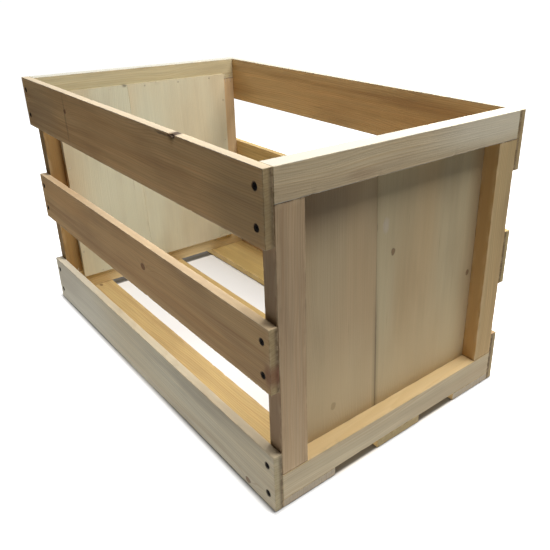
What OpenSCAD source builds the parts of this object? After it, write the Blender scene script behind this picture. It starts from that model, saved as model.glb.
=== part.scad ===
// Open-topped slatted crate of pine: two framed and panelled ends, joined by
// three slats on each long side and three slats for a floor.
// X runs along the crate, the front side is at -Y, and Z is up.
// The origin is on the ground, under the middle of the crate.

/* [Overall] */
// Length over the two end frames
crate_l = 770; // [500:10:1000]
// Width over the side slats
crate_w = 457; // [420:1:600]
// Height from the ground to the rim
crate_h = 457; // [420:1:600]

/* [Slats] */
// Width of every slat
slat_w = 89; // [70:1:95]
// Thickness of every slat
slat_t = 13; // [10:0.5:15]
// Height of the middle side slat's centre line
middle_z = 227; // [200:1:240]

/* [End frames] */
// Width of the rails and the stiles
member_w = 41; // [38:1:50]
// Thickness of the rails and the stiles
member_t = 25; // [22:1:30]

/* [End panels] */
// Thickness of the panel boards
panel_t = 9; // [6:0.5:12]
// How far a panel laps onto the inner face of its frame
panel_lap = 11.5; // [8:0.5:16]
// How far in front of the middle the two boards meet, at the panel's top
seam_top = 41; // [0:1:60]
// How far in front of the middle the two boards meet, at the panel's bottom
seam_bottom = 28; // [0:1:60]

/* [Screws] */
// Length of a screw
screw_l = 32; // [26:1:34]
// Diameter of a screw's head
head_d = 8.4; // [6:0.1:9]
// Diameter of a screw's shank
shank_d = 3.8; // [3:0.1:4.5]
// How far a screw's head is driven below the wood
head_sink = 0.6; // [0.3:0.1:1]
// Distance between the two screws at the end of a side slat
side_pitch = 46; // [40:1:52]
// Distance from a side slat's end to its screws
side_inset = 15; // [12:1:16]
// Distance between the two screws at the end of a floor slat
floor_pitch = 36; // [30:1:38]

/* [Panel nails] */
// Length of a panel nail
nail_l = 20; // [14:1:24]
// Diameter of a panel nail's shank
nail_d = 1.6; // [1.2:0.1:2]
// Diameter of a panel nail's head
nail_head_d = 3.6; // [2.8:0.1:4.5]
// Thickness of a panel nail's head
nail_head_t = 0.8; // [0.6:0.1:1]

/* [Corner staples] */
// Length of a staple's crown
staple_w = 18; // [14:1:20]
// Length of a staple's legs
staple_l = 16; // [12:1:18]
// Thickness of a staple's wire
staple_wire = 1.6; // [1:0.1:2]

/* [Hidden] */

$fn = 48;

// Colours
side_colour = [0.52, 0.42, 0.30];
floor_colour = [0.75, 0.60, 0.38];
frame_colour = [0.63, 0.55, 0.43];
panel_colour = [0.68, 0.62, 0.48];
screw_colour = [0.09, 0.08, 0.08];
wire_colour = [0.60, 0.60, 0.58];

// Half sizes, and the faces that pieces meet at
half_l = crate_l / 2;
half_w = crate_w / 2;
frame_x = half_l - member_t;          // inner face of an end frame
frame_y = half_w - slat_t;            // side edge of an end frame, behind the side slats
frame_z = slat_t;                     // underside of an end frame, on the floor slats
stile_z0 = frame_z + member_w;        // where a stile stands on its bottom rail
stile_z1 = crate_h - member_w;        // where a stile meets its top rail
panel_y = frame_y - member_w + panel_lap;
panel_z0 = stile_z0 - panel_lap;
panel_z1 = stile_z1 + panel_lap;

// Centre lines of the side slats and of the floor slats
bottom_z = slat_w / 2;
top_z = crate_h - slat_w / 2;
outer_floor_y = frame_y - slat_w / 2;

// Screw: a flat bugle head on a straight shank with a point
head_r = head_d / 2;
shank_r = shank_d / 2;
head_rim = 0.8;
head_cone = 3.4;
point_l = 6;
recess_l = 4.6;
recess_w = 1.1;
recess_depth = 1.8;
cut_clear = 1;                        // how far a cut runs out past the face it opens in

// Nail rows: distance from the panel's edge, and nails on each stretch
nail_edge = panel_lap / 2;
front_board_nails = 2;
back_board_nails = 3;
side_nails = 4;
nail_point = 2;

// Staples: distances of each corner's two staples from the frame's side edge
staple_edges = [8, 21];

function spread(low, high, count) =
  [for (i = [0 : count - 1]) low + (high - low) * (i + 0.5) / count];

// Where the two panel boards meet, at height z
function seam_y(z) =
  -(seam_bottom + (seam_top - seam_bottom) * (z - panel_z0) / (panel_z1 - panel_z0));

// ---- Fasteners, pointing down from the face z = 0 that they are driven into ----

// Half outline of a screw, with its head reaching up to the height top
module screw_outline(top) {
  rim_z = -head_sink - head_rim;
  tip_z = -head_sink - screw_l;
  polygon([
    [0, top], [head_r, top], [head_r, rim_z], [shank_r, rim_z - head_cone],
    [shank_r, tip_z + point_l], [0, tip_z]
  ]);
}

module screw() {
  color(screw_colour) difference() {
    rotate_extrude() screw_outline(-head_sink);
    for (turn = [0, 90])
      rotate([0, 0, turn])
        translate([-recess_l / 2, -recess_w / 2, -head_sink - recess_depth])
          cube([recess_l, recess_w, recess_depth + cut_clear]);
  }
}

module screw_hole() {
  rotate_extrude() screw_outline(cut_clear);
}

// Half outline of a panel nail, with its head reaching up to the height top
module nail_outline(top) {
  nail_r = nail_d / 2;
  polygon([
    [0, top], [nail_head_d / 2, top], [nail_head_d / 2, -nail_head_t], [nail_r, -nail_head_t],
    [nail_r, nail_point - nail_l], [0, -nail_l]
  ]);
}

module nail() {
  color(wire_colour) rotate_extrude() nail_outline(0);
}

module nail_hole() {
  rotate_extrude() nail_outline(cut_clear);
}

// Staple with its crown along Y, reaching up to the height top
module staple(top = 0) {
  color(wire_colour) {
    translate([-staple_wire / 2, -staple_w / 2, -staple_wire])
      cube([staple_wire, staple_w, staple_wire + top]);
    for (side = [-1, 1])
      translate([-staple_wire / 2, side * (staple_w - staple_wire) / 2 - staple_wire / 2, -staple_l])
        cube([staple_wire, staple_wire, staple_l]);
  }
}

// ---- Places of the fasteners ----

// Screws of the side slats on the side where y has the sign given
module at_side_screws(side) {
  for (end = [-1, 1], row_z = [bottom_z, middle_z, top_z], step = [-0.5, 0.5])
    translate([end * (half_l - side_inset), side * half_w, row_z + step * side_pitch])
      rotate([-side * 90, 0, 0]) children();
}

module at_floor_screws() {
  for (end = [-1, 1], row_y = [-outer_floor_y, 0, outer_floor_y], step = [-0.5, 0.5])
    translate([end * (half_l - member_t / 2), row_y + step * floor_pitch, 0])
      rotate([180, 0, 0]) children();
}

// Nails of the right end's panel: rows along its top, its bottom and its two sides
module at_panel_nails() {
  row_z = [panel_z0 + nail_edge, panel_z1 - nail_edge];
  places = concat(
    [for (z = row_z, y = spread(-panel_y, seam_y(z), front_board_nails)) [y, z]],
    [for (z = row_z, y = spread(seam_y(z), panel_y, back_board_nails)) [y, z]],
    [for (side = [-1, 1], z = spread(stile_z0, stile_z1, side_nails))
      [side * (panel_y - nail_edge), z]]
  );
  for (place = places)
    translate([frame_x - panel_t, place[0], place[1]]) rotate([0, -90, 0]) children();
}

// Staples of the right end's frame: two across each joint, on the inner face
module at_corner_staples() {
  for (side = [-1, 1], joint_z = [stile_z0, stile_z1], edge = staple_edges)
    translate([frame_x, side * (frame_y - edge), joint_z])
      rotate([0, -90, 0]) rotate([0, 0, 90]) children();
}

// ---- Pieces of one end, made at the right end and mirrored for the left ----

module at_end(side) {
  mirror([side < 0 ? 1 : 0, 0, 0]) children();
}

// A frame member that spans the height z0 to z1 and the width y0 to y1
module frame_member(y0, y1, z0, z1) {
  color(frame_colour) difference() {
    translate([frame_x, y0, z0]) cube([member_t, y1 - y0, z1 - z0]);
    at_side_screws(-1) screw_hole();
    at_side_screws(1) screw_hole();
    at_floor_screws() screw_hole();
    at_panel_nails() nail_hole();
    at_corner_staples() staple(cut_clear);
  }
}

module top_rail() {
  frame_member(-frame_y, frame_y, stile_z1, crate_h);
}

module bottom_rail() {
  frame_member(-frame_y, frame_y, frame_z, stile_z0);
}

module front_stile() {
  frame_member(-frame_y, member_w - frame_y, stile_z0, stile_z1);
}

module back_stile() {
  frame_member(frame_y - member_w, frame_y, stile_z0, stile_z1);
}

// A panel board with its outer edge at y = edge_y and its inner edge along the seam
module panel_board(edge_y) {
  color(panel_colour) difference() {
    translate([frame_x - panel_t, 0, 0]) rotate([90, 0, 90]) linear_extrude(panel_t)
      polygon([
        [edge_y, panel_z0], [seam_y(panel_z0), panel_z0],
        [seam_y(panel_z1), panel_z1], [edge_y, panel_z1]
      ]);
    at_panel_nails() nail_hole();
  }
}

// ---- Slats ----

// A side slat on the side where y has the sign given, centred at height centre_z
module side_slat(side, centre_z) {
  color(side_colour) difference() {
    translate([-half_l, side > 0 ? frame_y : -half_w, centre_z - slat_w / 2])
      cube([crate_l, slat_t, slat_w]);
    at_side_screws(side) screw_hole();
  }
}

module floor_slat(centre_y) {
  color(floor_colour) difference() {
    translate([-half_l, centre_y - slat_w / 2, 0]) cube([crate_l, slat_w, slat_t]);
    at_floor_screws() screw_hole();
  }
}

// ---- Named pieces ----

module left_end_top_rail() { at_end(-1) top_rail(); }
module left_end_bottom_rail() { at_end(-1) bottom_rail(); }
module left_end_front_stile() { at_end(-1) front_stile(); }
module left_end_back_stile() { at_end(-1) back_stile(); }
module left_end_front_panel_board() { at_end(-1) panel_board(-panel_y); }
module left_end_back_panel_board() { at_end(-1) panel_board(panel_y); }
module left_end_panel_nails() { at_end(-1) at_panel_nails() nail(); }
module left_end_corner_staples() { at_end(-1) at_corner_staples() staple(); }

module right_end_top_rail() { at_end(1) top_rail(); }
module right_end_bottom_rail() { at_end(1) bottom_rail(); }
module right_end_front_stile() { at_end(1) front_stile(); }
module right_end_back_stile() { at_end(1) back_stile(); }
module right_end_front_panel_board() { at_end(1) panel_board(-panel_y); }
module right_end_back_panel_board() { at_end(1) panel_board(panel_y); }
module right_end_panel_nails() { at_end(1) at_panel_nails() nail(); }
module right_end_corner_staples() { at_end(1) at_corner_staples() staple(); }

module front_top_slat() { side_slat(-1, top_z); }
module front_middle_slat() { side_slat(-1, middle_z); }
module front_bottom_slat() { side_slat(-1, bottom_z); }
module back_top_slat() { side_slat(1, top_z); }
module back_middle_slat() { side_slat(1, middle_z); }
module back_bottom_slat() { side_slat(1, bottom_z); }

module front_floor_slat() { floor_slat(-outer_floor_y); }
module centre_floor_slat() { floor_slat(0); }
module back_floor_slat() { floor_slat(outer_floor_y); }

module front_slat_screws() { at_side_screws(-1) screw(); }
module back_slat_screws() { at_side_screws(1) screw(); }
module floor_slat_screws() { at_floor_screws() screw(); }

left_end_top_rail();
left_end_bottom_rail();
left_end_front_stile();
left_end_back_stile();
left_end_front_panel_board();
left_end_back_panel_board();
left_end_panel_nails();
left_end_corner_staples();
right_end_top_rail();
right_end_bottom_rail();
right_end_front_stile();
right_end_back_stile();
right_end_front_panel_board();
right_end_back_panel_board();
right_end_panel_nails();
right_end_corner_staples();
front_top_slat();
front_middle_slat();
front_bottom_slat();
back_top_slat();
back_middle_slat();
back_bottom_slat();
front_floor_slat();
centre_floor_slat();
back_floor_slat();
front_slat_screws();
back_slat_screws();
floor_slat_screws();
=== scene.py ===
"""A slatted pine crate: detailed boards, screws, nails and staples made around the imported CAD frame.

Every board has worn arrises, dents, bored and countersunk holes, and a grain that runs through the wood.
Metres throughout, in the frame of the CAD model.
"""
import math
import random
from collections import namedtuple

import bmesh
import bpy
import numpy as np
from mathutils import Matrix, Vector, noise

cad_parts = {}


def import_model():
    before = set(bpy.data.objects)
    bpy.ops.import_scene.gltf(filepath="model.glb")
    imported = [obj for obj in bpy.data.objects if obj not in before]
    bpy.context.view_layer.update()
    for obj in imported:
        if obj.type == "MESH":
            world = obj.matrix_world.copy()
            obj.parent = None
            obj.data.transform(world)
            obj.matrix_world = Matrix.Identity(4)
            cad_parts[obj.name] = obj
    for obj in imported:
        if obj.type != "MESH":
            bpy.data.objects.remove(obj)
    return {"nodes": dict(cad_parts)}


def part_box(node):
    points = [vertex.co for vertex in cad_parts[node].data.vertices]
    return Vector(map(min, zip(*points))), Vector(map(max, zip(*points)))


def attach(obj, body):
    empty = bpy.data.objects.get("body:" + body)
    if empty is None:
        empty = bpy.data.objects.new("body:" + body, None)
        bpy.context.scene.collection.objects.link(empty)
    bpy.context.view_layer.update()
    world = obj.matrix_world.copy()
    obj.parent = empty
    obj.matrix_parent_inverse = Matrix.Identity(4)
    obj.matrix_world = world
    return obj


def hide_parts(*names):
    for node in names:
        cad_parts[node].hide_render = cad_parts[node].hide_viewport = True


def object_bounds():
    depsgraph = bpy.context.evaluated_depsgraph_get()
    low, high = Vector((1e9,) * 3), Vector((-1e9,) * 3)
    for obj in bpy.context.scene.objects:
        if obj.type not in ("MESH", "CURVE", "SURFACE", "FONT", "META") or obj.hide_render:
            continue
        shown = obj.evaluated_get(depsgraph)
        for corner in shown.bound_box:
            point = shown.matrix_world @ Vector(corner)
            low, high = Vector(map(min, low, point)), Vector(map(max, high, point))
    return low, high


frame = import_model()
cad_low, cad_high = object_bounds()

MM = 0.001

# ---------------- Boards

ARRIS = 1.7 * MM  # widest rounding of a board's edges
ARRIS_STEPS = (0.0, 0.18, 0.42, 0.7, 1.0)  # mesh lines across the rounding
PITCH = 6.0 * MM  # distance between mesh lines on a board's faces
LEAST_WEAR = 0.22  # smallest rounding, as a share of the widest
# Each unevenness: its changes per metre, its reach, and a number that sets it apart from the others
SLOW_WEAR = (14, 0.28, 0)
QUICK_WEAR = (90, 0.22, 5)
HOLLOWS = (22, 0.16 * MM, 9)  # in the planed faces
SAWN = (260, 0.12 * MM, 13)  # on the ends
SEED_SHIFT = (3.7, 1.3, -2.1)
DENTS = 7  # along the arrises of each board
DENT_ENDS = (0.02, 0.98)  # least and most, as a share of the board's length
DENT_REACH = (1.5, 4.5)  # least and most, in millimetres
DENT_DEPTH = (0.25, 0.8)
DENT_LINES = (-1.0, -0.5, 0.0, 0.5, 1.0)  # mesh lines across a dent, in reaches from its middle
SHARP_ANGLE = math.radians(40)


def stations(length, extra=()):
    """Places of the mesh lines along one side of a board, in metres from its low end."""
    edge = [ARRIS * step for step in ARRIS_STEPS]
    count = max(2, round((length - 2 * ARRIS) / PITCH) + 1)
    places = edge + [length - e for e in edge] + list(np.linspace(ARRIS, length - ARRIS, count))
    places += [p for p in extra if ARRIS < p < length - ARRIS]
    return np.unique(np.round(places, 6))


def box_faces(counts):
    """Corner indices of a box whose sides are ruled with that many lines, and the quads between them."""
    quads = []
    for axis in range(3):
        a, b = (axis + 1) % 3, (axis + 2) % 3
        for end in (0, counts[axis] - 1):
            for i, j in np.ndindex(counts[a] - 1, counts[b] - 1):
                quad = []
                for step_a, step_b in ((0, 0), (1, 0), (1, 1), (0, 1)):
                    corner = [0, 0, 0]
                    corner[axis], corner[a], corner[b] = end, i + step_a, j + step_b
                    quad.append(tuple(corner))
                quads.append(quad if end else quad[::-1])
    corners = sorted({corner for quad in quads for corner in quad})
    place = {corner: i for i, corner in enumerate(corners)}
    return np.array(corners), [[place[c] for c in quad] for quad in quads]


def noise_at(points, unevenness, seed):
    """Smooth noise at each point, as far as the unevenness reaches up or down."""
    scale, reach, number = unevenness
    shift = Vector([(seed + number) * step for step in SEED_SHIFT])
    return reach * np.array([noise.noise(Vector(p) * scale + shift) for p in points])


class Board:
    """A CAD board's place and its own axes: along the grain, across it and through it.

    The skews say how far its low edge and its high edge lean across the board.
    """

    def __init__(self, node, low_skew=0.0, high_skew=0.0):
        self.node = node
        self.low, self.high = (np.array(corner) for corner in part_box(node))
        self.axes = list(np.argsort(-(self.high - self.low), kind="stable"))
        self.size = (self.high - self.low)[self.axes]
        self.low_skew, self.high_skew = low_skew, high_skew

    def edges_at(self, along):
        """Low and high edge across the board, at a share of its length from 0 to 1."""
        low = self.low_skew * (1 - along if self.low_skew > 0 else along)
        high = self.size[1] + self.high_skew * along
        return low, high

    def to_world(self, points):
        """Points in the board's own axes, moved to the shared frame."""
        placed = np.array(points)
        low, high = self.edges_at(placed[:, 0] / self.size[0])
        placed[:, 1] = low + placed[:, 1] / self.size[1] * (high - low)
        world = np.empty_like(placed)
        world[:, self.axes] = placed + self.low[self.axes]
        return world

    def from_world(self, world):
        """Points of the shared frame in the board's own axes, with no skew taken out."""
        return (world - self.low)[:, self.axes]


def dents(board, rng):
    """Dents along a board's arrises: the place, reach and depth of each."""
    found = []
    for _ in range(DENTS):
        along = rng.uniform(*DENT_ENDS) * board.size[0]
        place = (along, rng.choice((0.0, board.size[1])), rng.choice((0.0, board.size[2])))
        found.append((place, rng.uniform(*DENT_REACH) * MM, rng.uniform(*DENT_DEPTH) * MM))
    return found


def board_mesh(board, seed, knocks, worn):
    """The board as a closed mesh in its own axes, its edges rounded by a share of the widest."""
    lines = [place[0] + reach * line for place, reach, depth in knocks for line in DENT_LINES]
    rulings = [stations(board.size[0], lines), stations(board.size[1]), stations(board.size[2])]
    corners, quads = box_faces([len(r) for r in rulings])
    points = np.stack([rulings[axis][corners[:, axis]] for axis in range(3)], axis=1)
    wear = 0.5 + noise_at(points, SLOW_WEAR, seed) + noise_at(points, QUICK_WEAR, seed)
    radius = (ARRIS * worn * np.clip(wear, LEAST_WEAR, 1.0))[:, None]
    inner = np.clip(points, radius, board.size - radius)
    normal = points - inner
    normal /= np.linalg.norm(normal, axis=1, keepdims=True)
    points = inner + normal * radius
    depth = (HOLLOWS[1] + noise_at(points, HOLLOWS, seed)) / 2
    depth += normal[:, 0] ** 2 * (SAWN[1] + noise_at(points, SAWN, seed)) / 2
    for place, reach, dent_depth in knocks:
        distance = np.linalg.norm(points - np.array(place), axis=1)
        depth += dent_depth * np.exp(-((distance / reach) ** 2))
    points -= normal * depth[:, None]
    return points, quads


def new_object(name, data):
    """A new object in the scene."""
    thing = bpy.data.objects.new(name, data)
    bpy.context.scene.collection.objects.link(thing)
    return thing


def mesh_object(name, points, faces):
    """A new object with that mesh, its faces turned outward."""
    mesh = bpy.data.meshes.new(name)
    mesh.from_pydata([tuple(p) for p in points], [], faces)
    shell = bmesh.new()
    shell.from_mesh(mesh)
    bmesh.ops.recalc_face_normals(shell, faces=shell.faces)
    shell.to_mesh(mesh)
    shell.free()
    return new_object(name, mesh)


def cut(thing, cutter):
    """Takes the cutter's shape out of a thing's mesh, and removes the cutter."""
    step = thing.modifiers.new("cut", "BOOLEAN")
    step.operation, step.solver, step.object = "DIFFERENCE", "MANIFOLD", cutter
    bpy.context.view_layer.update()
    whole = thing.evaluated_get(bpy.context.evaluated_depsgraph_get())
    mesh = bpy.data.meshes.new_from_object(whole)
    mesh.materials.clear()
    thing.modifiers.clear()
    thing.data = mesh
    bpy.data.objects.remove(cutter)


# ---------------- Fasteners

HOLE_ROOM = 2.0 * MM  # how far a hole's cutter stands out of the wood
TORN = 0.35 * MM  # widening of a screw hole's mouth
DEEP_TEAR = 0.56 * MM  # the most that splinters add to it
TEARS = 2.3  # how often it is torn on its way round
ROOM = 0.05 * MM  # between a fastener and the wood round it
END_ROOM = 0.1 * MM  # the same beyond its point
SAME_PLACE = 0.001 * MM  # closer corners of a CAD solid are one corner


def solids_of(node):
    """Lowest and highest corner of each separate solid in a CAD node."""
    shell = bmesh.new()
    shell.from_mesh(frame["nodes"][node].data)
    bmesh.ops.remove_doubles(shell, verts=shell.verts, dist=SAME_PLACE)
    left, found = set(shell.verts), []
    while left:
        group = [left.pop()]
        for vertex in group:  # which grows by its neighbours
            near = {edge.other_vert(vertex) for edge in vertex.link_edges} & left
            left -= near
            group += near
        places = np.array([v.co for v in group])
        found.append((places.min(axis=0), places.max(axis=0)))
    shell.free()
    return sorted(found, key=lambda box: tuple(np.round(box[0], 5)))


def size_of_first(node):
    """The sides of the first solid in a CAD node."""
    low, high = solids_of(node)[0]
    return high - low


def driven(node, direction):
    """Matrices that place the fasteners of a node, each made with its head at the origin, point down."""
    direction = np.array(direction, float)
    matrices = []
    for low, high in solids_of(node):
        middle, half = (low + high) / 2, (high - low) / 2
        head = middle - direction * (half @ np.abs(direction))
        turn = Vector(-direction).to_track_quat("Z", "Y")
        matrices.append(Matrix.Translation(head) @ turn.to_matrix().to_4x4())
    return matrices


def turned(outline, segments, wobble=None):
    """A closed solid of revolution about Z from (radius, z) points, both ends of them on the axis."""
    points, faces = [(0, 0, outline[0][1])], []
    rings = outline[1:-1]
    for i, (radius, z) in enumerate(rings):
        for j in range(segments):
            angle = math.tau * j / segments
            r = radius + (wobble(i, angle) if wobble else 0)
            points.append((r * math.cos(angle), r * math.sin(angle), z))
    points.append((0, 0, outline[-1][1]))
    last = len(points) - 1
    for j in range(segments):
        k = (j + 1) % segments
        faces.append((0, 1 + j, 1 + k))
        for i in range(len(rings) - 1):
            a, b = 1 + i * segments, 1 + (i + 1) * segments
            faces.append((a + j, b + j, b + k, a + k))
        end = last - segments
        faces.append((last, end + k, end + j))
    return points, faces


def joined(parts):
    """One list of points and one of faces from several (points, faces, matrix)."""
    points, faces = [], []
    for part_points, part_faces, matrix in parts:
        start = len(points)
        points += [tuple(matrix @ Vector(p)) for p in part_points]
        faces += [tuple(start + i for i in face) for face in part_faces]
    return points, faces


def prism_faces(count):
    """The faces of a prism with that many corners at each end."""
    faces = [tuple(range(count)), tuple(range(2 * count - 1, count - 1, -1))]
    return faces + [(i, i + count, (i + 1) % count + count, (i + 1) % count) for i in range(count)]


# A bugle screw
SCREW_WIDTH, SCREW_LENGTH, _ = size_of_first("front_slat_screws")
SCREW_HEAD = SCREW_WIDTH / 2
SCREW_SHANK = 1.9 * MM
SCREW_CORE = 1.4 * MM
HEAD_RIM = 0.8 * MM
HEAD_DEPTH = 4.2 * MM
THREAD_START = 8.0 * MM
THREAD_PITCH = 2.4 * MM
POINT_LENGTH = 6.0 * MM
THREAD_RINGS = 52
BLUNT = 0.4 * MM  # from the thread's last ring to the point
SCREW_SIDES = 20
HOLE_SIDES = 32
RECESS = (2.3 * MM, 0.55 * MM, 1.8 * MM)  # half span, half width and depth of the cross recess
RECESS_TOP = 0.5 * MM  # how far its cutter stands out of the head
RECESS_MOUTH = 1.15  # share of its span and width that it has there
RECESS_FLOOR = (0.55, 0.6)  # and at its floor


def screw_solid():
    """One screw with a crowned head, a bugle neck, a thread and a point."""
    outline = [(0, 0), (SCREW_HEAD * 0.6, 0), (SCREW_HEAD * 0.93, -0.06 * MM),
               (SCREW_HEAD, -0.3 * MM), (SCREW_HEAD, -HEAD_RIM)]
    for step in (0.2, 0.4, 0.6, 0.8, 1.0):
        shrink = (1 - step) ** 1.6
        outline.append((SCREW_SHANK + (SCREW_HEAD - SCREW_SHANK) * shrink,
                        -HEAD_RIM - (HEAD_DEPTH - HEAD_RIM) * step))
    first_thread = len(outline)
    for z in np.linspace(THREAD_START, SCREW_LENGTH - BLUNT, THREAD_RINGS):
        taper = min(1.0, (SCREW_LENGTH - z) / POINT_LENGTH)
        outline.append((SCREW_CORE * taper, -z))
    outline.append((0, -SCREW_LENGTH))

    def thread(ring, angle):
        if ring + 1 < first_thread:
            return 0
        radius, z = outline[ring + 1]
        turn = (z / THREAD_PITCH + angle / math.tau) % 1
        return (SCREW_SHANK - SCREW_CORE) * radius / SCREW_CORE * max(0, 1 - abs(turn - 0.5) * 4)

    return turned(outline, SCREW_SIDES, thread)


def recess_solid():
    """The cross recess of a screw's head, tapering inward."""
    span, width, depth = RECESS
    cross = [(span, -width), (span, width), (width, width)]
    outline = []
    for quarter in range(4):
        turn = Matrix.Rotation(quarter * math.pi / 2, 2)
        outline += [tuple(turn @ Vector(p)) for p in cross]
    points = [(x * RECESS_MOUTH, y * RECESS_MOUTH, RECESS_TOP) for x, y in outline]
    points += [(x * RECESS_FLOOR[0], y * RECESS_FLOOR[1], -depth) for x, y in outline]
    return points, prism_faces(len(outline))


def screw_mesh():
    """The finished screw's points and faces, with the recess cut."""
    screw = mesh_object("screw", *screw_solid())
    cut(screw, mesh_object("recess", *recess_solid()))
    points = [tuple(v.co) for v in screw.data.vertices]
    faces = [tuple(p.vertices) for p in screw.data.polygons]
    bpy.data.objects.remove(screw)
    return points, faces


def screw_hole(seed):
    """The room a driven screw takes in the wood, torn a little at the surface."""
    head, shank = SCREW_HEAD + ROOM, SCREW_SHANK + ROOM
    outline = [(0, HOLE_ROOM), (head + TORN, HOLE_ROOM), (head + TORN, 0.2 * MM), (head, -0.35 * MM),
               (head, -HEAD_RIM), (shank, -HEAD_DEPTH),
               (shank, POINT_LENGTH - SCREW_LENGTH), (0, -SCREW_LENGTH - END_ROOM)]

    def torn(ring, angle):
        if ring > 1:
            return 0
        spot = Vector((math.cos(angle), math.sin(angle), seed))
        return DEEP_TEAR * max(0, noise.noise(spot * TEARS))

    return turned(outline, HOLE_SIDES, torn)


NAIL_HEAD = 1.8 * MM
NAIL_SHANK = 0.8 * MM
NAIL_LENGTH = 20.0 * MM
NAIL_HEAD_DEPTH = 0.8 * MM
NAIL_POINT = 2 * MM
NAIL_SIDES = 16


def nail_solid():
    """One panel nail with a slightly domed head."""
    outline = [(0, 0), (NAIL_HEAD * 0.45, -0.03 * MM), (NAIL_HEAD * 0.85, -0.12 * MM),
               (NAIL_HEAD, -0.3 * MM), (NAIL_HEAD * 0.97, -0.6 * MM), (NAIL_SHANK * 1.3, -0.8 * MM),
               (NAIL_SHANK, -1.2 * MM), (NAIL_SHANK, NAIL_POINT - NAIL_LENGTH), (0, -NAIL_LENGTH)]
    return turned(outline, NAIL_SIDES)


def nail_hole():
    """The room a driven nail takes in the wood."""
    head, shank = NAIL_HEAD + 2 * ROOM, NAIL_SHANK + ROOM
    outline = [(0, HOLE_ROOM), (head * 1.1, HOLE_ROOM), (head, -0.2 * MM), (head, -NAIL_HEAD_DEPTH - ROOM),
               (shank, -1.25 * MM), (shank, NAIL_POINT - NAIL_LENGTH), (0, -NAIL_LENGTH - END_ROOM)]
    return turned(outline, NAIL_SIDES)


STAPLE_LENGTH, STAPLE_WIRE, STAPLE_WIDTH = size_of_first("right_end_corner_staples")
STAPLE_BEND = 1.6 * MM  # radius of the bends at the crown
BEND_STEPS = 5
STAPLE_POINT = 1.5 * MM  # length of the point at each foot
POINT_SHARE = 0.35  # how thick it is at its end
WIRE_SIDES = 12
WIRE_ROUND = 0.16  # how much of the square wire's corners is gone


def staple_hole():
    """The room a driven staple takes in the wood: a crown on two legs, as thick as the wire."""
    outer, inner = STAPLE_WIDTH / 2 + ROOM, STAPLE_WIDTH / 2 - STAPLE_WIRE - ROOM
    foot, crown, half = -STAPLE_LENGTH - ROOM, -STAPLE_WIRE - ROOM, STAPLE_WIRE / 2 + ROOM
    outline = [(-outer, HOLE_ROOM), (-outer, foot), (-inner, foot), (-inner, crown),
               (inner, crown), (inner, foot), (outer, foot), (outer, HOLE_ROOM)]
    return [(x, side * half, z) for side in (-1, 1) for x, z in outline], prism_faces(len(outline))


def staple_solid():
    """One staple with its wire bent round at the crown and drawn to a point at its feet."""
    half = STAPLE_WIRE / 2
    span = STAPLE_WIDTH / 2 - half
    path = [(-span, -STAPLE_LENGTH), (-span, STAPLE_POINT - STAPLE_LENGTH)]
    for step in range(BEND_STEPS + 1):
        angle = math.pi / 2 * step / BEND_STEPS
        rise = STAPLE_BEND * math.sin(angle)
        path.append((-span + STAPLE_BEND * (1 - math.cos(angle)), -half - STAPLE_BEND + rise))
    path += [(-x, z) for x, z in path[::-1]]
    angles = [math.tau * (i + 0.5) / WIRE_SIDES for i in range(WIRE_SIDES)]
    square = [half / max(abs(math.cos(a)), abs(math.sin(a))) for a in angles]
    fats = [s * (1 - WIRE_ROUND * math.sin(2 * a) ** 2) for s, a in zip(square, angles)]
    points, faces = [], []
    for i, (x, z) in enumerate(path):
        ahead = Vector(path[min(i + 1, len(path) - 1)]) - Vector(path[max(i - 1, 0)])
        ahead.normalize()
        thin = POINT_SHARE if i in (0, len(path) - 1) else 1.0
        for angle, fat in zip(angles, fats):
            out = fat * math.cos(angle) * thin
            points.append((x - ahead.y * out, fat * math.sin(angle), z + ahead.x * out))
    count = len(angles)
    for i in range(len(path) - 1):
        for j in range(count):
            k = (j + 1) % count
            faces.append((i * count + j, i * count + k, (i + 1) * count + k, (i + 1) * count + j))
    end = (len(path) - 1) * count
    faces += [tuple(range(count)), tuple(range(end + count - 1, end - 1, -1))]
    return points, faces


# node: kind of fastener, and the way it is driven
FASTENERS = {
    "front_slat_screws": ("screw", (0, 1, 0)),
    "back_slat_screws": ("screw", (0, -1, 0)),
    "floor_slat_screws": ("screw", (0, 0, 1)),
    "right_end_panel_nails": ("nail", (1, 0, 0)),
    "left_end_panel_nails": ("nail", (-1, 0, 0)),
    "right_end_corner_staples": ("staple", (1, 0, 0)),
    "left_end_corner_staples": ("staple", (-1, 0, 0)),
}
SOLIDS = {"screw": screw_mesh(), "nail": nail_solid(), "staple": staple_solid()}
HOLES = {"nail": nail_hole(), "staple": staple_hole()}
LENGTHS = {"screw": SCREW_LENGTH, "nail": NAIL_LENGTH, "staple": STAPLE_LENGTH}
ENTERS = 0.5 * MM  # a fastener enters a board when it reaches this far into it
STAPLE_TURN = Matrix.Rotation(math.pi / 2, 4, "Z")
places = {node: driven(node, way) for node, (kind, way) in FASTENERS.items()}


def fastener_piece(node):
    """All the fasteners of one CAD node as one piece, each nail and screw turned its own way."""
    kind = FASTENERS[node][0]
    rng = random.Random(node)
    parts = []
    for place in places[node]:
        spin = STAPLE_TURN if kind == "staple" else Matrix.Rotation(rng.uniform(0, math.tau), 4, "Z")
        parts.append((*SOLIDS[kind], place @ spin))
    thing = mesh_object("detailed_" + node, *joined(parts))
    slot, material = ("screw", SCREW_FINISH) if kind == "screw" else ("wire", WIRE_FINISH)
    finish_piece(thing, node, material)


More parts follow.
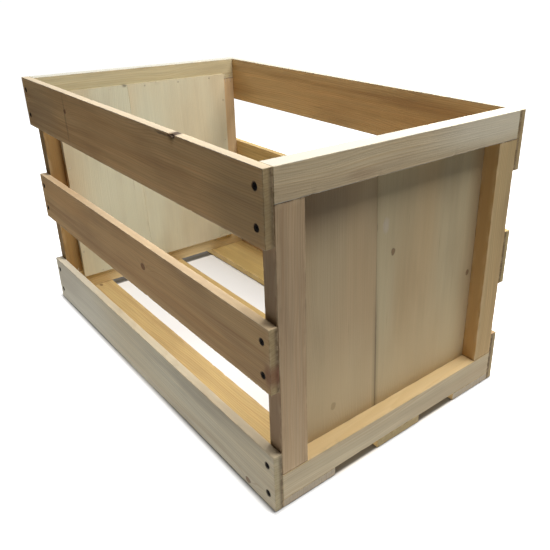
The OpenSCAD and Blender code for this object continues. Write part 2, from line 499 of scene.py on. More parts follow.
def holes_in(board):
    """The cutters of every fastener that enters a board, as one mesh, or None."""
    parts = []
    for node, (kind, _) in FASTENERS.items():
        for number, place in enumerate(places[node]):
            tip = np.array(place @ Vector((0, 0, -LENGTHS[kind])))
            head = np.array(place.translation)
            half_crown = (0, 0, STAPLE_WIDTH / 2 if kind == "staple" else 0)
            low, high = np.minimum(head, tip) - half_crown, np.maximum(head, tip) + half_crown
            if (high < board.low + ENTERS).any() or (low > board.high - ENTERS).any():
                continue
            spin = STAPLE_TURN if kind == "staple" else Matrix.Identity(4)
            hole = screw_hole(number) if kind == "screw" else HOLES[kind]
            parts.append((*hole, place @ spin))
    return mesh_object("holes", *joined(parts)) if parts else None


# ---------------- Node trees

# A noise's changes per metre on each axis, the levels where its pattern starts and is full, the pattern's
# strength, and the number and the strength of the noise's finer layers
Pattern = namedtuple("Pattern", "stretch start full strength detail rough",
                     defaults=(0.0, 1.0, 1.0, 3.0, 0.5))


def srgb(*screen):
    """The linear colour of a shader for a screen's red, green and blue from 0 to 255."""
    shares = [value / 255 for value in screen]
    return (*(s / 12.92 if s <= 0.04045 else ((s + 0.055) / 1.055) ** 2.4 for s in shares), 1.0)


class Tree:
    """A material's nodes, made by calls that take sockets or plain values and return sockets."""

    def __init__(self, name):
        self.material = bpy.data.materials.new(name)
        self.material.use_nodes = True
        self.nodes = self.material.node_tree.nodes
        self.surface = self.nodes["Principled BSDF"]

    def feed(self, socket, value):
        """Links another socket, or sets a plain value."""
        if isinstance(value, bpy.types.NodeSocket):
            self.material.node_tree.links.new(value, socket)
        else:
            socket.default_value = value

    def finish(self, name, value):
        """Feeds one of the surface's own sockets."""
        self.feed(self.surface.inputs[name], value)

    def add(self, kind, inputs, **settings):
        node = self.nodes.new("ShaderNode" + kind)
        for name, value in settings.items():
            setattr(node, name, value)
        for name, value in inputs.items():
            self.feed(node.inputs[name], value)
        return node

    def position(self):
        return self.add("NewGeometry", {}).outputs["Position"]

    def attribute(self, name, output="Vector"):
        return self.add("Attribute", {}, attribute_name=name).outputs[output]

    def maths(self, operation, first, second=0.0):
        return self.add("Math", {0: first, 1: second}, operation=operation).outputs[0]

    def plus(self, first, second):
        return self.maths("ADD", first, second)

    def times(self, first, second):
        return self.maths("MULTIPLY", first, second)

    def vector(self, operation, first, second=(0, 0, 0)):
        node = self.add("VectorMath", {0: first, 1: second}, operation=operation)
        return node.outputs["Value" if operation in ("LENGTH", "DISTANCE") else "Vector"]

    def scaled(self, place, scale):
        return self.vector("MULTIPLY", place, scale)

    def length(self, place, scale=(1, 1, 1)):
        return self.vector("LENGTH", self.scaled(place, scale))

    def noise(self, place, pattern, output="Fac"):
        where = self.scaled(place, pattern.stretch)
        inputs = {"Vector": where, "Scale": 1.0, "Detail": pattern.detail, "Roughness": pattern.rough}
        return self.add("TexNoise", inputs).outputs[output]

    def share(self, place, pattern, strength=1.0):
        """How much of a pattern there is at a place."""
        level = self.noise(place, pattern)
        return self.span(level, pattern.start, pattern.full, 0.0, pattern.strength * strength)

    def split(self, vector):
        return self.add("SeparateXYZ", {0: vector}).outputs

    def join(self, x, y, z):
        return self.add("CombineXYZ", {0: x, 1: y, 2: z}).outputs[0]

    def span(self, value, low, high, to_low=0.0, to_high=1.0, kind="SMOOTHSTEP"):
        """Goes from to_low to to_high while the value goes from low to high."""
        inputs = {"Value": value, "From Min": low, "From Max": high, "To Min": to_low, "To Max": to_high}
        return self.add("MapRange", inputs, interpolation_type=kind).outputs[0]

    def mix(self, share, first, second, blend="MIX"):
        inputs = {0: share, 6: first, 7: second}
        return self.add("Mix", inputs, data_type="RGBA", blend_type=blend, clamp_factor=True).outputs[2]

    def tinted(self, colour, tone):
        """A colour multiplied by a tone."""
        return self.mix(1.0, colour, tone, "MULTIPLY")

    def curve(self, value, stops):
        """A grey read off a curve through (value, grey) stops."""
        node = self.add("ValToRGB", {0: value})
        ramp = node.color_ramp
        while len(ramp.elements) < len(stops):
            ramp.elements.new(0.5)
        for element, (place, level) in zip(ramp.elements, stops):
            element.position, element.color = place, (level, level, level, 1)
        return node.outputs[0]

    def bump(self, height, depth, strength=1.0, under=None):
        inputs = {"Height": height, "Distance": depth, "Strength": strength}
        if under is not None:
            inputs["Normal"] = under
        return self.add("Bump", inputs).outputs[0]


# ---------------- Materials

Wood = namedtuple("Wood", "early late rings stain streaks fibres knots rubbed rounding",
                  defaults=(1.0, 0.78, 0.5, 1.0))
# Early and late wood, strength of the rings, tone of the stains, strengths of the broad streaks, fibres,
# knots and rubbed arrises, and rounding of the arrises as a share of the widest
WOODS = {
    "side_slat": Wood(srgb(205, 176, 136), srgb(160, 118, 74), 0.6, srgb(150, 122, 92), 1.0),
    "floor_slat": Wood(srgb(226, 190, 130), srgb(190, 136, 74), 0.55, srgb(186, 150, 100), 0.5),
    "frame": Wood(srgb(220, 194, 150), srgb(184, 144, 94), 0.5, srgb(180, 152, 116), 0.45),
    "panel": Wood(srgb(216, 198, 160), srgb(198, 173, 128), 0.2, srgb(190, 168, 132), 0.1,
                  fibres=0.4, knots=0.65, rubbed=0.15, rounding=0.4),
}
# How much lighter or darker than its kind a board is, in red, green and blue: partly the wood's own tone,
# partly painted light and shade
TONES_AND_PAINTED_LIGHT = {
    "front_top_slat": (1.14, 1.08, 0.9),
    "front_middle_slat": (1.02, 0.97, 0.82),
    # paler and bluer: painted light bounced up from the floor
    "front_bottom_slat": (1.14, 1.5, 2.02),
    "back_top_slat": (1.16, 1.17, 0.97),
    "back_middle_slat": (1.32, 1.4, 1.08),
    "front_floor_slat": (0.69, 0.74, 0.73),
    "centre_floor_slat": (0.76, 0.82, 0.74),
    "back_floor_slat": (0.72, 0.78, 0.66),
    "left_end_top_rail": (0.71, 0.88, 1.0),
    "left_end_bottom_rail": (0.8, 0.84, 0.76),
    # much darker: partly its own tone, partly painted shade from the front slats
    "left_end_front_stile": (0.44, 0.37, 0.22),
    "left_end_front_panel_board": (0.83, 0.99, 1.18),
    "left_end_back_panel_board": (0.85, 1.01, 1.2),
    # paler and bluer: painted light falling from behind
    "right_end_top_rail": (0.98, 1.1, 1.28),
    "right_end_bottom_rail": (0.92, 1.06, 1.28),
    "right_end_front_stile": (0.83, 0.84, 0.93),
    "right_end_back_stile": (0.84, 0.82, 0.72),
    "right_end_front_panel_board": (0.83, 0.81, 0.8),
    "right_end_back_panel_board": (0.86, 0.87, 0.85),
}
# Painted light and shade on a board's two narrow faces, as a tone and how strong it is: painted highlights
# on the rims and slat edges, painted light on the sill and in the back stile's recess, painted shade on
# the front stile's side
RIM_HIGHLIGHT = srgb(190, 180, 158)
SOFT_RIM_HIGHLIGHT = srgb(184, 168, 140)
PALE_RIM_HIGHLIGHT = srgb(190, 188, 176)
NARROW_FACE_LIGHT_AND_SHADE = {
    "front_top_slat": (RIM_HIGHLIGHT, 0.75),
    "front_middle_slat": (SOFT_RIM_HIGHLIGHT, 0.6),
    "front_bottom_slat": (SOFT_RIM_HIGHLIGHT, 0.7),
    "back_top_slat": (PALE_RIM_HIGHLIGHT, 0.9),
    "left_end_top_rail": (PALE_RIM_HIGHLIGHT, 0.9),
    "right_end_top_rail": (PALE_RIM_HIGHLIGHT, 0.9),
    "right_end_bottom_rail": (srgb(236, 200, 134), 0.6),
    "right_end_front_stile": (srgb(112, 80, 48), 0.5),
    "right_end_back_stile": (srgb(196, 146, 76), 0.6),
}
# Soft marks on a board, some of them painted light and shade: (along, across, half length, half width) in
# millimetres, tone and strength
PAINTED_PALE_LIGHT = srgb(232, 226, 206)
DARK = srgb(64, 44, 28)
PAINTED_BOUNCE_LIGHT = srgb(214, 190, 146)
MARKS_AND_PAINTED_LIGHT = {
    "front_top_slat": [((-176, 0, 4.5, 60), DARK, 0.3), ((172, 41, 24, 2.6), DARK, 0.55),
                       # the dark mark over the chip is painted shade in its hollow
                       ((196, 43, 12, 7), DARK, 0.9), ((-300, 0, 110, 60), srgb(176, 152, 116), 0.3),
                       ((350, -10, 110, 60), srgb(120, 106, 76), 0.36)],
    "front_middle_slat": [((382, -19, 13, 20), srgb(120, 62, 40), 0.6),
                          ((-270, 22, 190, 34), srgb(220, 168, 106), 0.4)],
    # pale towards its left end: painted light bounced up from the floor
    "front_bottom_slat": [((-290, 0, 260, 90), srgb(226, 222, 206), 0.5)],
    # pale towards its back end: painted light falling from behind
    "right_end_top_rail": [((170, 8, 190, 34), PAINTED_PALE_LIGHT, 0.5), ((-90, -12, 34, 9), srgb(150, 112, 84), 0.3)],
    "left_end_front_panel_board": [((192, 60, 6, 6), DARK, 0.6)],
    # pale towards the bottom: painted light bounced up from the floor; the dark patch at the top is
    # painted shade under the top rail
    "right_end_front_panel_board": [((-190, 0, 190, 300), PAINTED_BOUNCE_LIGHT, 0.5),
                                    ((200, -40, 120, 130), srgb(104, 72, 54), 0.42)],
    # pale towards the bottom: painted light bounced up from the floor
    "right_end_back_panel_board": [((-190, 0, 190, 300), PAINTED_BOUNCE_LIGHT, 0.5),
                                   ((101, -94, 15, 8), srgb(210, 198, 186), 0.45)],
}
# Knots on a board: (along, across, radius) from its centre, in millimetres
KNOTS = {
    "front_top_slat": [(-174, 13.5, 3.5)],
    "front_middle_slat": [(62, 5, 5.0)],
    "front_bottom_slat": [(323, -36, 4.2)],
    "back_middle_slat": [(140, 10, 4.5)],
    "back_bottom_slat": [(-210, -12, 5.5), (60, 26, 3.0)],
    "front_floor_slat": [(-352, 16, 3.0)],
    "centre_floor_slat": [(-60, -18, 7.0), (-230, 22, 3.5)],
    "back_floor_slat": [(120, -8, 4.5)],
    "right_end_front_panel_board": [(-141.5, -2.5, 4.0)],
    "right_end_back_panel_board": [(59.5, -78, 3.5), (-25.5, 92, 3.5)],
}
KNOT = srgb(110, 66, 36)
KNOT_RING = srgb(150, 98, 56)
BARK = srgb(70, 40, 24)
RESIN = srgb(120, 80, 44)
WARM = srgb(214, 166, 110)
DARKER = (0.66, 0.56, 0.48, 1)
PALER = (1.16, 1.15, 1.12, 1)
# Early and late wood of sawn ends, then a paler, greyer pair that is painted light bounced up from the
# floor, and the boards whose ends take it
END_GRAIN = (srgb(166, 152, 116), srgb(138, 120, 84))
BOUNCE_LIT_END = (srgb(190, 182, 170), srgb(160, 150, 136))
BOUNCE_LIT_BOARDS = ("front_floor_slat", "back_floor_slat")
DARK_JOINT = srgb(74, 52, 34)
RUBBED = srgb(236, 212, 170)
GRIME = srgb(96, 74, 54)
IRON_STAIN = srgb(58, 38, 26)

# Patterns of the wood, along, across and through a board
FIBRE = Pattern((14, 900, 900), 0.2, 0.8)
STREAK = Pattern((3.5, 130, 130), 0.25, 0.75)
FIBRE_SHADE = (0.14, 0.1)  # how much darker and lighter than the rest
STREAK_SHADE = (0.1, 0.08)
DARK_STREAK = Pattern((1.5, 44, 44), 0.46, 0.68, 0.8, rough=0.6)
PALE_STREAK = Pattern((1.5, 44, 44), 0.44, 0.28, rough=0.6)
STAIN = Pattern((5, 16, 16), 0.42, 0.75, 0.55)
WARM_PATCH = Pattern((2.0, 9, 9), 0.35, 0.7, 0.35, detail=1.0)
RESIN_LINE = Pattern((7, 420, 420), 0.7, 0.8, detail=1.0)
RESIN_PATCH = Pattern((12, 25, 25), 0.5, 0.62, 0.45, detail=1.0)
RUBBED_PATCH = Pattern((40, 160, 160), 0.4, 0.62)
GRIMY_PATCH = Pattern((22, 60, 60), 0.58, 0.72, 0.45)
# Patterns that move a place to and fro, and twice how far on each axis, in metres
BEND = (Pattern((2.2, 7, 7), detail=2.0), (0, 0.055, 0.055))
WOBBLE = (Pattern((9, 70, 70), detail=2.0), (0, 0.003, 0.003))
RAGGED = (Pattern((90, 90, 30), detail=2.0), (0.004, 0.004, 0.0))
SEED_STEPS = (1.31, 0.77, 0.53)  # how far apart two boards lie in the noise, in metres

PITH_AWAY = 0.5  # each board lies this far to one side of the pith, so its rings run straight
PITH_ACROSS = (-0.03, 0.03)  # the most that this varies
PITH_DEPTH = (0.03, 0.07)  # least and most, above or below the board
LEAN = (-0.03, 0.03)  # how far the pith leans, in metres per metre
RINGS = 270.0  # per metre
UNEVEN = 2.6  # how far the rings wander from even widths, in rings
RING_WIDTH = Pattern((130, 1, 1), detail=2.0)
RING_STEP = 0.37  # how far apart two boards lie in that noise
# From early wood to late: shares of a ring, and how dark it is there
RING_TONE = ((0.0, 0.1), (0.45, 0.12), (0.86, 1.0), (0.93, 0.95), (1.0, 0.1))
RING_FADE = 0.45  # strength of the rings between the streaks

# Lengths in a knot's radii, unless they say otherwise
KNOT_SHAPE = (0.72, 1, 0)  # longer along the grain than across it
PUSH_SHAPE = (0.3, 0.85, 0)  # how the rings are pushed aside, longer still
PUSH_REACH = 1.7
PUSH = 2.1
KNOT_EDGE = (1.05, 0.82)  # where the tone starts and is full
KNOT_RINGS = 5200.0  # radians per metre
BARK_AT = 0.98
BARK_EDGE = (0.9 * MM, 0.1 * MM)  # metres
BARK_STRENGTH = 0.6

NARROW_LIGHT_DEPTH = (1.6 * MM, 0.2 * MM)  # below a narrow face, where its painted light or shade starts and is full
STILE_JOINT = (2.4 * MM, 0.2 * MM, 0.7)  # the same for the dirt at a stile's ends, and its strength
SLAT_JOINT = (-1.0 * MM, 4.0 * MM, 0.0, 0.85)  # two depths from a slat's middle, and their strengths
END_STRENGTH = 0.85
END_RINGS = 0.5
SEAM_DIRT = (0.06, -0.08, 0.25, 0.8)  # two heights from a panel board's middle, and their strengths
MARK_EDGE = (1.0, 0.3)  # where a mark starts and is full, as a share of its half sides
HALO = (2.7 * MM, 1.0 * MM)  # outward from a screw's head, where its stain starts and is full
HALO_EDGE = Pattern((150, 300, 300), detail=2.0)
HALO_RAGGED = 1.5 * MM
HALO_STRENGTH = 0.8

ROUGH = (0.8, 0.96)  # least and most between the fibres
RING_GLOSS = -0.1
END_DULL = 0.15
PLANER_PITCH = 2.3 * MM
SAW_PITCH = 1.6 * MM
# Depth of each relief, and its strength
RING_RELIEF = (0.1 * MM, 1.0)
FIBRE_RELIEF = (0.16 * MM, 0.8)
PLANER_RELIEF = (0.01 * MM, 0.5)
SAW_RELIEF = (0.05 * MM, 0.8)


class Pine(Tree):
    """The wood of one board."""

    def __init__(self, board, slot, seed, screws_at):
        super().__init__("pine_" + board.node)
        self.board, self.node, self.slot, self.wood = board, board.node, slot, WOODS[slot]
        self.place = self.attribute("grain")
        self.moved = self.vector("ADD", self.place, tuple(seed * step for step in SEED_STEPS))
        self.face = self.wander(self.scaled(self.place, (1, 1, 0)), *RAGGED)
        self.end, self.edge = self.attribute("end", "Fac"), self.attribute("arris", "Fac")
        self.fibre, self.streak = self.noise(self.moved, FIBRE), self.noise(self.moved, STREAK)
        self.ring = self.rings(self.with_knots(self.from_pith()), seed)
        colour = self.tinted(self.knotted(self.grown()), (*TONES_AND_PAINTED_LIGHT.get(self.node, (1, 1, 1)), 1))
        colour = self.sawn(self.edge_light_and_joint_dirt(colour))
        colour = self.with_marks_and_painted_light(self.handled(colour))
        if screws_at:
            colour = self.stained_at(colour, screws_at)
        self.finish("Base Color", colour)
        self.finish("Roughness", self.roughness())
        self.finish("Normal", self.relief())

    def wander(self, place, pattern, reach):
        """A place moved to and fro."""
        drift = self.vector("SUBTRACT", self.noise(self.moved, pattern, "Color"), (0.5, 0.5, 0.5))
        return self.vector("ADD", place, self.scaled(drift, reach))

    def from_pith(self):
        """How far each point lies from its log's pith, which bends and leans."""
        rng = random.Random("pine" + self.node)
        bent = self.wander(self.wander(self.place, *BEND), *WOBBLE)
        along, across, through = self.split(bent)
        pith_across = rng.uniform(*PITH_ACROSS)
        pith_depth = rng.uniform(*PITH_DEPTH) * rng.choice((-1, 1))
        lean_across, lean_depth = rng.uniform(*LEAN), rng.uniform(*LEAN)
        across = self.plus(self.plus(across, PITH_AWAY - pith_across), self.times(along, lean_across))
        through = self.plus(self.plus(through, -pith_depth), self.times(along, lean_depth))
        return self.length(self.join(0.0, across, through))

    def with_knots(self, radius):
        """Pushes the rings aside at each knot, and keeps the knots' own tones for later."""
        self.knot, self.bark, self.knot_rings = 0.0, 0.0, 0.0
        for along, across, size in KNOTS.get(self.node, ()):
            size *= MM
            offset = self.vector("SUBTRACT", self.face, (along * MM, across * MM, 0))
            distance, wide = self.length(offset, KNOT_SHAPE), self.length(offset, PUSH_SHAPE)
            falloff = self.times(self.maths("POWER", wide, 2.0), -1 / (PUSH_REACH * size) ** 2)
            radius = self.plus(radius, self.times(self.maths("EXPONENT", falloff), PUSH * size))
            inside = self.span(distance, size * KNOT_EDGE[0], size * KNOT_EDGE[1])
            self.knot = self.maths("MAXIMUM", self.knot, inside)
            rim = self.maths("ABSOLUTE", self.plus(distance, -size * BARK_AT))
            self.bark = self.maths("MAXIMUM", self.bark, self.span(rim, *BARK_EDGE))
            waves = self.maths("SINE", self.times(distance, KNOT_RINGS))
            self.knot_rings = self.plus(self.knot_rings, waves)
        return radius

    def rings(self, radius, seed):
        """Growth rings of uneven width, dark where the late wood ends."""
        uneven = self.noise(self.join(radius, 0.0, seed * RING_STEP), RING_WIDTH)
        count = self.plus(self.times(radius, RINGS), self.times(uneven, UNEVEN))
        return self.curve(self.maths("FRACT", count), RING_TONE)

    def shade(self, level, pattern, darker, lighter):
        """A grey to multiply a colour by, from dark to light between a pattern's levels."""
        dark, light = 1 - darker * self.wood.fibres, 1 + lighter * self.wood.fibres
        grey = self.span(level, pattern.start, pattern.full, dark, light, "LINEAR")
        return self.join(grey, grey, grey)

    def grown(self):
        """The colour that the wood grew with: rings, streaks, stains, fibres and resin."""
        wood, moved = self.wood, self.moved
        strength = self.span(self.streak, STREAK.start, STREAK.full, RING_FADE * wood.rings, wood.rings)
        colour = self.mix(self.times(self.ring, strength), wood.early, wood.late)
        for pattern, tone in ((DARK_STREAK, DARKER), (PALE_STREAK, PALER)):
            colour = self.mix(self.share(moved, pattern, wood.streaks), colour, self.tinted(colour, tone))
        for pattern, tone in ((STAIN, wood.stain), (WARM_PATCH, WARM)):
            colour = self.mix(self.share(moved, pattern), colour, tone)
        colour = self.tinted(colour, self.shade(self.fibre, FIBRE, *FIBRE_SHADE))
        colour = self.tinted(colour, self.shade(self.streak, STREAK, *STREAK_SHADE))
        resin = self.times(self.share(moved, RESIN_LINE), self.share(moved, RESIN_PATCH))
        return self.mix(resin, colour, RESIN)

    def knotted(self, colour):
        """Adds the knots and the bark round them."""
        if self.node not in KNOTS:
            return colour
        tone = self.mix(self.span(self.knot_rings, -1.0, 1.0, 0.0, 0.5), KNOT, KNOT_RING)
        colour = self.mix(self.times(self.knot, self.wood.knots), colour, tone)
        return self.mix(self.times(self.bark, self.wood.knots * BARK_STRENGTH), colour, BARK)

    def near_face(self, axis, start, full, strength):
        """Rises toward a board's two ends, axis 0, or its two narrow faces, axis 1."""
        from_middle = self.split(self.vector("ABSOLUTE", self.place))[axis]
        half = self.board.size[axis] / 2
        return self.span(from_middle, half - start, half - full, 0.0, strength)

    def edge_light_and_joint_dirt(self, colour):
        """Adds the painted light and shade of the narrow faces, and dirt in the joints at a stile's ends.
        """
        if self.node in NARROW_FACE_LIGHT_AND_SHADE:
            tone, strength = NARROW_FACE_LIGHT_AND_SHADE[self.node]
            # painted highlight, light or shade on the narrow faces
            colour = self.mix(self.near_face(1, *NARROW_LIGHT_DEPTH, strength), colour, tone)
        if "stile" in self.node:
            colour = self.mix(self.near_face(0, *STILE_JOINT), colour, DARK_JOINT)
        return colour

    def sawn(self, colour):
        """Adds end grain, and a dark band where a side slat's ends meet the frame."""
        if "stile" not in self.node:
            # the front and back floor slats' ends are painted paler and greyer, as if lit from the floor
            early, late = BOUNCE_LIT_END if self.node in BOUNCE_LIT_BOARDS else END_GRAIN
            grain = self.mix(self.times(self.ring, END_RINGS), early, late)
            colour = self.mix(self.times(self.end, END_STRENGTH), colour, grain)
        # a darker band on the inner side of a side slat's ends, by the frame
        if self.slot == "side_slat":
            inward = 1 if self.node.startswith("front") else -1
            depth = self.times(self.split(self.place)[2], inward)
            joint = self.times(self.span(depth, *SLAT_JOINT), self.end)
            colour = self.mix(joint, colour, DARK_JOINT)
        return colour

    def handled(self, colour):
        """Adds arrises rubbed pale, and grimy ones."""
        rubbed = self.times(self.edge, self.share(self.moved, RUBBED_PATCH, self.wood.rubbed))
        colour = self.mix(rubbed, colour, RUBBED)
        grimy = self.times(self.edge, self.share(self.moved, GRIMY_PATCH))
        return self.mix(grimy, colour, GRIME)

    def with_marks_and_painted_light(self, colour):
        """Adds the board's own marks, some of them painted light and shade, and dirt in the seam of the
        right-hand panel.
        """
        for (along, across, half_length, half_width), tone, strength in MARKS_AND_PAINTED_LIGHT.get(self.node, ()):
            offset = self.vector("SUBTRACT", self.face, (along * MM, across * MM, 0))
            reach = self.length(offset, (1 / (half_length * MM), 1 / (half_width * MM), 0))
            colour = self.mix(self.span(reach, *MARK_EDGE, 0.0, strength), colour, tone)
        if self.slot == "panel" and self.node.startswith("right"):
            seam = self.times(self.edge, self.span(self.split(self.place)[0], *SEAM_DIRT))
            colour = self.mix(seam, colour, DARK_JOINT)
        return colour

    def stained_at(self, colour, screws_at):
        """Adds a ragged dark halo round each screw."""
        mirrored = self.scaled(self.vector("ABSOLUTE", self.place), (1, 1, 0))
        away = self.vector("DISTANCE", mirrored, (*screws_at, 0))
        away = self.plus(away, self.times(self.noise(self.moved, HALO_EDGE), HALO_RAGGED))
        halo = self.span(away, SCREW_HEAD + HALO[0], SCREW_HEAD + HALO[1])
        return self.mix(self.times(halo, HALO_STRENGTH), colour, IRON_STAIN)

    def roughness(self):
        """Late wood is the least dull, and sawn ends are the most."""
        rough = self.span(self.fibre, FIBRE.start, FIBRE.full, *ROUGH, "LINEAR")
        rough = self.plus(rough, self.times(self.ring, RING_GLOSS))
        return self.maths("MINIMUM", self.plus(rough, self.times(self.end, END_DULL)), 1.0)

    def relief(self):
        """Proud late wood, fibres, planer marks across the faces and saw marks on the ends."""
        planer = self.maths("SINE", self.times(self.split(self.place)[0], math.tau / PLANER_PITCH))
        saw = self.maths("SINE", self.times(self.split(self.moved)[1], math.tau / SAW_PITCH))
        normal = self.bump(self.ring, *RING_RELIEF)
        normal = self.bump(self.fibre, *FIBRE_RELIEF, normal)
        normal = self.bump(planer, *PLANER_RELIEF, normal)
        return self.bump(self.times(saw, self.end), *SAW_RELIEF, normal)


# Patterns of the fasteners' metal
DUST = Pattern((900, 900, 900), 0.35, 0.7, detail=4.0)
SCUFF = Pattern((260, 260, 260), 0.62, 0.76, 0.4)
DRAWN = Pattern((1500, 1500, 300), 0.3, 0.7)
OXIDE = Pattern((120, 120, 120), 0.4, 0.65)
MOST = (0.3, 0.7)  # nearly all of a noise lies between these


def black_screw():
    """Black phosphate steel, scuffed and specked with dust."""
    tree = Tree("black_phosphate")
    place = tree.position()
    dust = tree.noise(place, DUST)
    colour = tree.mix(tree.share(place, DUST), srgb(14, 9, 6), srgb(36, 26, 18))
    colour = tree.mix(tree.share(place, SCUFF), colour, srgb(84, 70, 54))
    tree.finish("Base Color", colour)
    tree.finish("Roughness", tree.span(dust, *MOST, 0.66, 0.85))
    tree.finish("Specular IOR Level", 0.15)
    tree.finish("Normal", tree.bump(dust, 0.03 * MM))
    return tree.material


def zinc_wire():
    """Zinc wire with drawn lines along it and a little dull oxide."""
    tree = Tree("zinc_wire")
    place = tree.position()
    drawn = tree.noise(place, DRAWN)
    colour = tree.mix(tree.share(place, OXIDE), srgb(206, 198, 180), srgb(168, 158, 138))
    tree.finish("Base Color", colour)
    tree.finish("Roughness", tree.span(drawn, *MOST, 0.4, 0.6))
    tree.finish("Metallic", 0.45)
    tree.finish("Normal", tree.bump(drawn, 0.02 * MM))
    return tree.material


SCREW_FINISH = black_screw()
WIRE_FINISH = zinc_wire()

# ---------------- Pieces

ARRIS_FADE = 1.6 * MM  # how far from an arris its wear fades by two thirds
END_FADE = 0.5 * MM  # the same for end grain
SLATS = ("front_top", "front_middle", "front_bottom", "back_top", "back_middle", "back_bottom",
         "front_floor", "centre_floor", "back_floor")
# The chip in the top front edge, from the board's corner: its place, reach and depth
CHIP = ((581 * MM, 89 * MM, 0.0), 6.0 * MM, 4.2 * MM)


def finish_piece(thing, node, material):
    """A smooth piece with its true corners sharp. It stands for its CAD node and rides on the crate."""
    thing.data.shade_smooth()
    thing.data.set_sharp_from_angle(angle=SHARP_ANGLE)
    thing.data.materials.append(material)
    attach(thing, "root")
    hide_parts(node)


def set_attribute(mesh, name, kind, field, values):
    """Writes one value, or one vector, for each point of a mesh."""
    data = mesh.attributes.new(name, kind, "POINT").data
    data.foreach_set(field, np.ravel(values).astype(np.float32))


def mark_board(thing, board):
    """Writes where each point lies in its board, and how near it is to an arris and to an end."""
    mesh = thing.data
    world = np.empty(len(mesh.vertices) * 3, np.float32)
    mesh.vertices.foreach_get("co", world)
    inside = board.from_world(world.reshape(-1, 3).astype(float))
    set_attribute(mesh, "grain", "FLOAT_VECTOR", "vector", inside - board.size / 2)
    gaps = np.minimum(inside, board.size - inside)
    low, high = board.edges_at(inside[:, 0] / board.size[0])
    gaps[:, 1] = np.minimum(inside[:, 1] - low, high - inside[:, 1])
    gaps = np.maximum(gaps, 0)
    near = np.sort(gaps, axis=1)
    arris = np.exp(-np.hypot(*near.T[:2]) / ARRIS_FADE)
    set_attribute(mesh, "arris", "FLOAT", "value", arris)
    set_attribute(mesh, "end", "FLOAT", "value", np.exp(-gaps[:, 0] / END_FADE))


def make_board(node, slot, seed, knocks=(), skews=(0.0, 0.0), screws_at=None):
    """One detailed board in place of a CAD node."""
    board = Board(node, *skews)
    knocks = [*knocks, *dents(board, random.Random(node))]
    points, quads = board_mesh(board, seed, knocks, WOODS[slot].rounding)
    thing = mesh_object("detailed_" + node, board.to_world(points), quads)
    if holes := holes_in(board):
        cut(thing, holes)
    mark_board(thing, board)
    finish_piece(thing, node, Pine(board, slot, seed, screws_at).material)


def screw_offset(board, screws):
    """How far along and across from a slat's middle its screws are. They mirror one another."""
    inside = [abs(board.from_world(np.array([p.translation]))[0] - board.size / 2) for p in places[screws]]
    return tuple(min(inside, key=lambda place: place[1])[:2])


def slat(node, seed):
    """One slat of a side or of the floor."""
    kind = "floor" if "floor" in node else "side"
    screws = "floor_slat_screws" if kind == "floor" else node.split("_")[0] + "_slat_screws"
    knocks = [CHIP] if node == "front_top_slat" else []
    make_board(node, kind + "_slat", seed, knocks, screws_at=screw_offset(Board(node), screws))


def end_frame(end, seed):
    """One end: two rails, two stiles, and two panel boards that meet at a slanted seam."""
    for step, part in enumerate(("top_rail", "bottom_rail", "front_stile", "back_stile")):
        make_board(end + part, "frame", seed + step)
    front, back = end + "front_panel_board", end + "back_panel_board"
    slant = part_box(front)[1].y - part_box(back)[0].y
    make_board(front, "panel", seed + 5, skews=(0.0, -slant))
    make_board(back, "panel", seed + 6, skews=(slant, 0.0))


for number, place in enumerate(SLATS, start=1):
    slat(place + "_slat", number)
for number, end in ((20, "left_end_"), (30, "right_end_")):
    end_frame(end, number)
for node in FASTENERS:
    fastener_piece(node)

# ---------------- Studio

FLOOR_REACH = 30.0  # metres from the middle to each side
FLOOR_GAP = 0.2 * MM  # between the floor and the crate
# Where the floor's glow, and its painted shadow patches under the two ends, start and are full
GLOW = (-2 * MM, 11 * MM)  # outward from the crate
PATCH_INSIDE = (-29 * MM, -23 * MM)  # outward from the nearer end
PATCH_SIDES = (0.0, -2 * MM)  # outward from the nearer long side
PATCH_LEFT = (-12 * MM, -4 * MM)  # rightward from the left end
PATCH_RIGHT = (1 * MM, -3 * MM)  # rightward from the right end
PALE_FLOOR = (0.8, 0.8, 0.8, 1)
FLOOR_SHADOW_TONE = (0.16, 0.16, 0.16, 1)

# Each light's place, what it points at, its sides in metres and its power in watts
LIGHTS = {
    "softbox": ((0.48, 0.45, 1.5), (0.48, 0.45, 0.0), (1.3, 0.9), 38),
    "left_light": ((-1.6, 0.1, 1.6), (0.0, 0.0, 0.3), (1.2, 0.9), 26),
    "floor_bounce": ((0, -0.15, -0.1 * MM), (0, -0.15, 1), (1.6, 1.6), 8.2),
}
WARM_WHITE = (1.0, 0.97, 0.93, 1)
WHITE = (1, 1, 1, 1)
AMBIENT = 0.03

CAMERA_PLACE = (0.8709, -0.5635, 0.6329)
CAMERA_DOWN = math.radians(24.156)
CAMERA_TURN = math.radians(49.838)
SENSOR, LENS = 36.0, 40.5  # millimetres
SHIFT = (-0.0826, -0.0451)
CLIP = (0.01, 100)


def area_light(name, place, target, size, power):
    """A rectangular light that the camera doesn't see."""
    light = bpy.data.lights.new(name, "AREA")
    light.shape, light.size, light.size_y = "RECTANGLE", *size
    light.energy = power
    thing = new_object(name, light)
    thing.location = place
    thing.rotation_euler = (Vector(target) - Vector(place)).to_track_quat("-Z", "Y").to_euler()
    thing.visible_camera = False


def painted_shadow_under_ends(tree, place, beyond):
    """The painted shadow patches under the crate's two ends."""
    along = tree.split(place)[0]
    shade = tree.times(tree.span(beyond[0], *PATCH_INSIDE), tree.span(beyond[1], *PATCH_SIDES))
    shade = tree.times(shade, tree.span(along, *(cad_low.x + edge for edge in PATCH_LEFT)))
    return tree.times(shade, tree.span(along, *(cad_high.x + edge for edge in PATCH_RIGHT)))


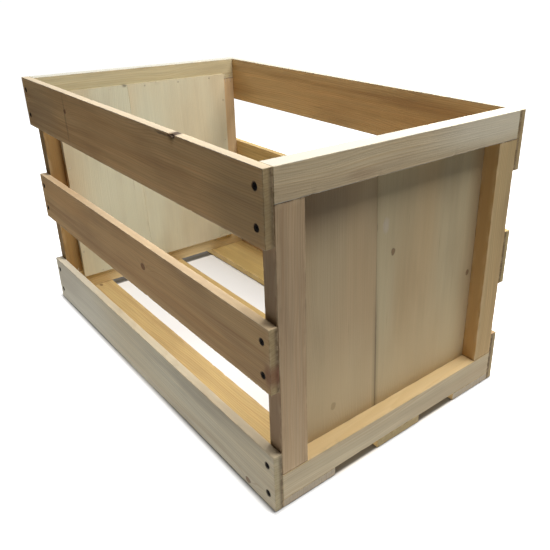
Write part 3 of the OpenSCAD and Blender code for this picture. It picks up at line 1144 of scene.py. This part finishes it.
def floor_finish():
    """Pale, shaded under the crate with painted shadow under its two ends, and glowing to an even white
    all round it.
    """
    tree = Tree("floor_white")
    tree.finish("Roughness", 0.9)
    tree.finish("Emission Color", WHITE)
    place = tree.position()
    beyond = tree.split(tree.vector("SUBTRACT", tree.vector("ABSOLUTE", place), tuple(cad_high)))
    shade = painted_shadow_under_ends(tree, place, beyond)
    outside = tree.span(tree.maths("MAXIMUM", beyond[0], beyond[1]), *GLOW)
    glow = tree.times(outside, tree.maths("SUBTRACT", 1.0, shade))
    # painted shadow under the crate's two ends
    tree.finish("Base Color", tree.mix(shade, PALE_FLOOR, FLOOR_SHADOW_TONE))
    tree.finish("Emission Strength", glow)
    return tree.material


def floor():
    """The floor, which casts no light on the crate."""
    mesh = bpy.data.meshes.new("floor")
    corners = [(x * FLOOR_REACH, y * FLOOR_REACH, 0) for x, y in ((-1, -1), (1, -1), (1, 1), (-1, 1))]
    mesh.from_pydata(corners, [], [(0, 1, 2, 3)])
    mesh.materials.append(floor_finish())
    thing = new_object("floor", mesh)
    thing.location.z = -FLOOR_GAP
    thing.visible_diffuse = thing.visible_glossy = False


def world():
    """Dim even light from all round, behind a white backdrop."""
    scene = bpy.context.scene
    scene.world = bpy.data.worlds.new("studio")
    scene.world.use_nodes = True
    nodes, links = scene.world.node_tree.nodes, scene.world.node_tree.links
    dim, white = nodes["Background"], nodes.new("ShaderNodeBackground")
    dim.inputs["Color"].default_value = WARM_WHITE
    dim.inputs["Strength"].default_value = AMBIENT
    white.inputs["Color"].default_value = WHITE
    path, either = nodes.new("ShaderNodeLightPath"), nodes.new("ShaderNodeMixShader")
    links.new(path.outputs["Is Camera Ray"], either.inputs[0])
    links.new(dim.outputs[0], either.inputs[1])
    links.new(white.outputs[0], either.inputs[2])
    links.new(either.outputs[0], nodes["World Output"].inputs["Surface"])


def camera():
    """The camera, above the near right-hand corner."""
    data = bpy.data.cameras.new("camera")
    data.sensor_width, data.lens = SENSOR, LENS
    data.shift_x, data.shift_y = SHIFT
    data.clip_start, data.clip_end = CLIP
    thing = new_object("camera", data)
    thing.location = CAMERA_PLACE
    thing.rotation_euler = (math.pi / 2 - CAMERA_DOWN, 0, CAMERA_TURN)
    bpy.context.scene.camera = thing


floor()
world()
camera()
for name, settings in LIGHTS.items():
    area_light(name, *settings)

bpy.context.scene.view_settings.view_transform = "Standard"
